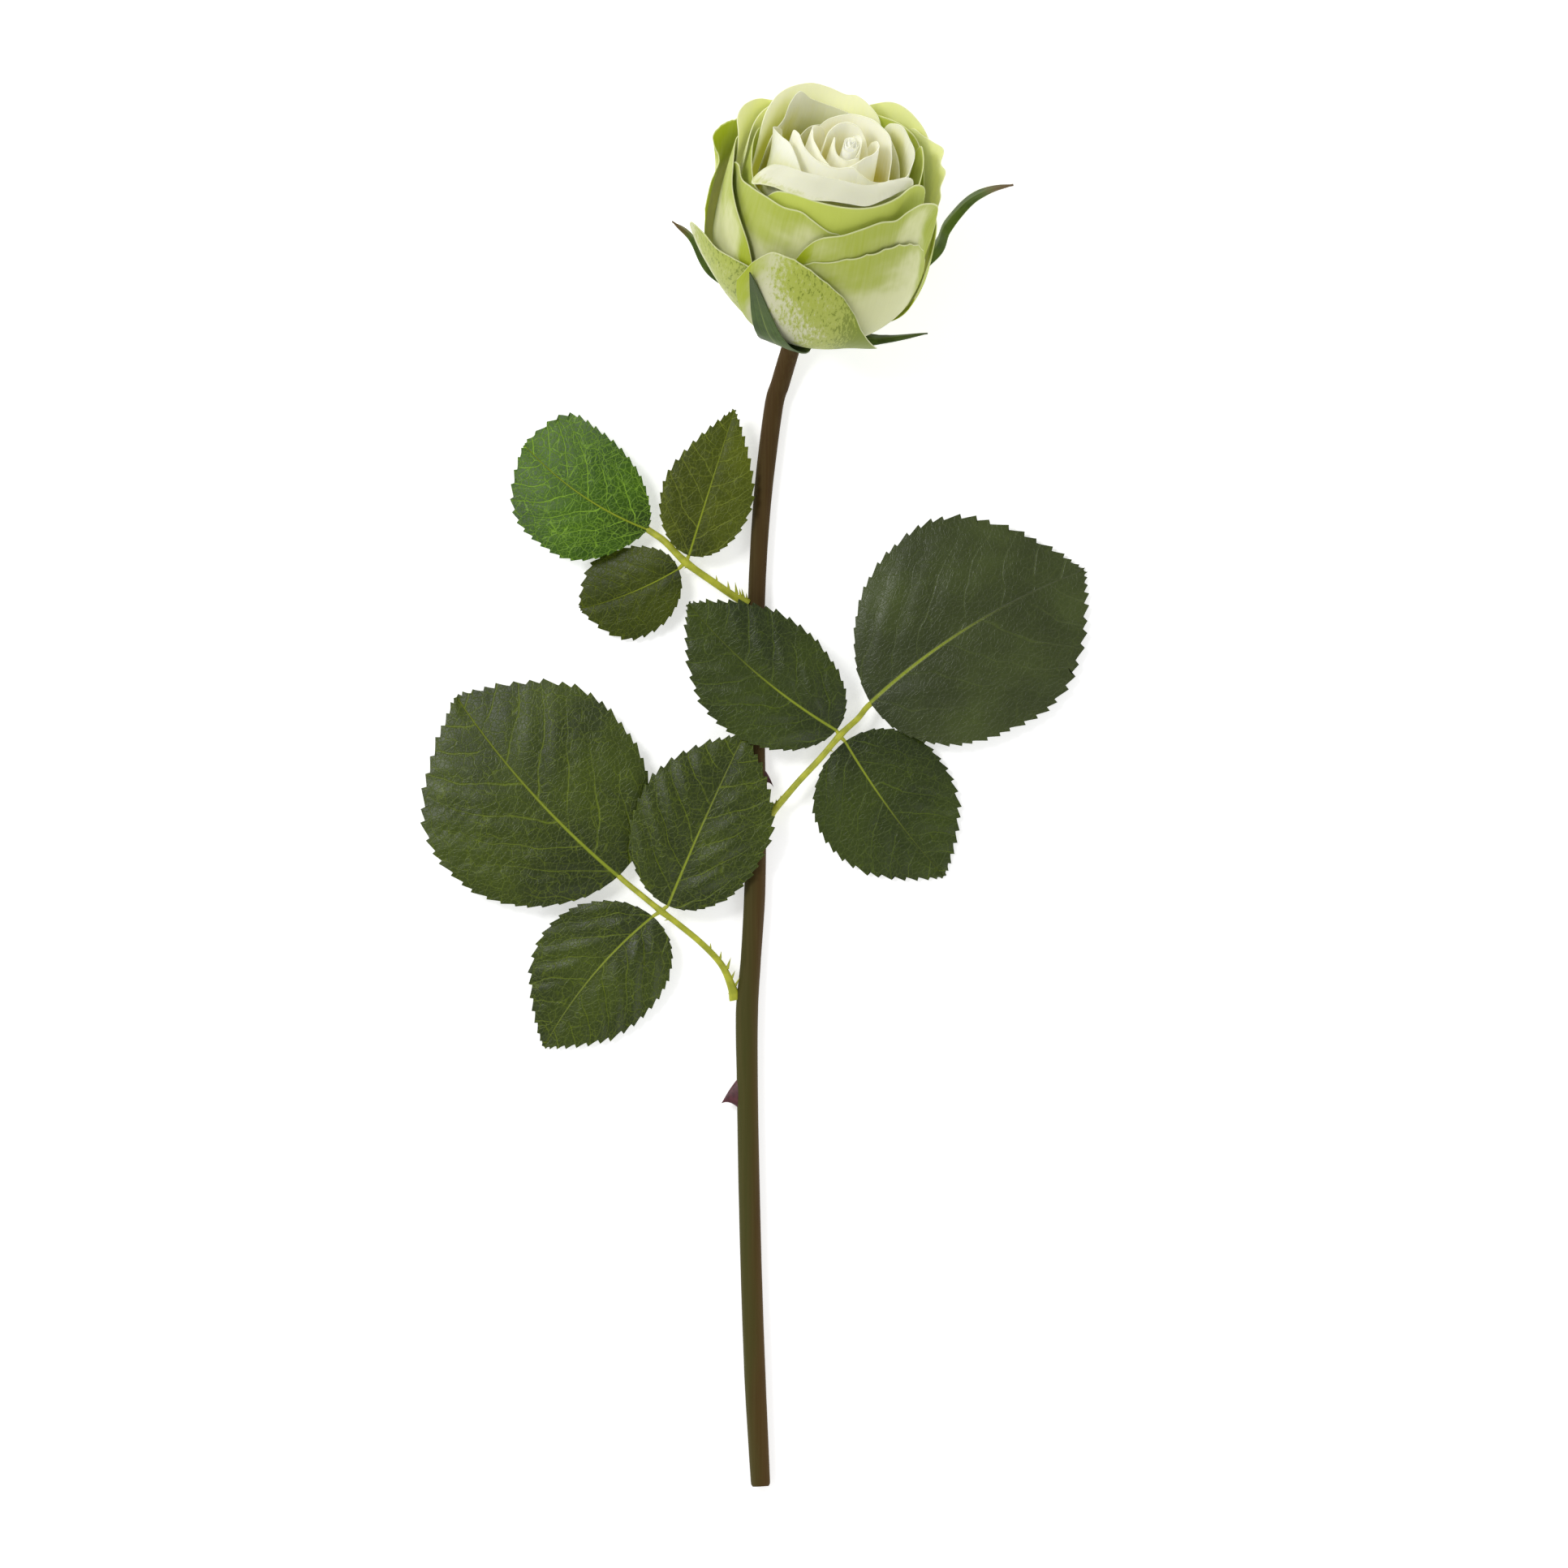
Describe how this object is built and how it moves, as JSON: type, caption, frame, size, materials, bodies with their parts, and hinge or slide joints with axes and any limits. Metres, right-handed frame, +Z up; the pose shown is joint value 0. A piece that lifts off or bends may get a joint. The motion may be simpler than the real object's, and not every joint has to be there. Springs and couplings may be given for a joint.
{
  "type": "cut rose",
  "caption": "Long-stemmed cut rose lying on a surface: a half-open pale green and white bloom on a bent neck, toothed compound leaves and thorns.",
  "frame": {"origin": "centre of the plan on the surface that the rose lies on", "axes": "+Y along the stem towards the bloom, +Z up from the surface, +X to the right seen from above with the bloom away from the viewer"},
  "size_m": [0.2357, 0.5003, 0.0945],
  "materials": {
    "stem": "satin brown-olive stem skin with fine lengthwise streaks",
    "thorn": "satin burgundy",
    "petiole": "satin yellow-green",
    "leaf": "satin dark green with yellow-green veins",
    "sepal": "satin mid green with brown tips",
    "receptacle": "satin green",
    "guard_petal": "matte, whitish with yellow-green mottling towards the edges",
    "outer_petal": "soft matte lime green fading to white",
    "middle_petal": "soft matte lime green with pale rims",
    "inner_petal": "soft matte white with green depths",
    "core_petal": "soft matte ivory white"
  },
  "bodies": {
    "root": {"core_petal_1": "core_petal", "core_petal_2": "core_petal", "core_petal_3": "core_petal", "core_petal_4": "core_petal", "core_petal_5": "core_petal", "core_petal_6": "core_petal", "core_petal_7": "core_petal", "guard_petal_1": "guard_petal", "guard_petal_2": "guard_petal", "guard_petal_3": "guard_petal", "guard_petal_4": "guard_petal", "guard_petal_5": "guard_petal", "heart": "core_petal", "inner_petal_1": "inner_petal", "inner_petal_2": "inner_petal", "inner_petal_3": "inner_petal", "inner_petal_4": "inner_petal", "inner_petal_5": "inner_petal", "lower_left_end_leaflet": "leaf", "lower_left_inner_leaflet": "leaf", "lower_left_outer_leaflet": "leaf", "lower_left_petiole": "petiole", "middle_petal_1": "middle_petal", "middle_petal_2": "middle_petal", "middle_petal_3": "middle_petal", "middle_petal_4": "middle_petal", "middle_petal_5": "middle_petal", "middle_petal_6": "middle_petal", "outer_petal_1": "outer_petal", "outer_petal_2": "outer_petal", "outer_petal_3": "outer_petal", "outer_petal_4": "outer_petal", "outer_petal_5": "outer_petal", "outer_petal_6": "outer_petal", "outer_petal_7": "outer_petal", "outer_petal_8": "outer_petal", "receptacle": "receptacle", "right_end_leaflet": "leaf", "right_inner_leaflet": "leaf", "right_outer_leaflet": "leaf", "right_petiole": "petiole", "sepal_1": "sepal", "sepal_2": "sepal", "sepal_3": "sepal", "sepal_4": "sepal", "sepal_5": "sepal", "stem": "stem", "thorn_1": "thorn", "thorn_2": "thorn", "upper_left_end_leaflet": "leaf", "upper_left_inner_leaflet": "leaf", "upper_left_outer_leaflet": "leaf", "upper_left_petiole": "petiole"}
  },
  "joints": []
}
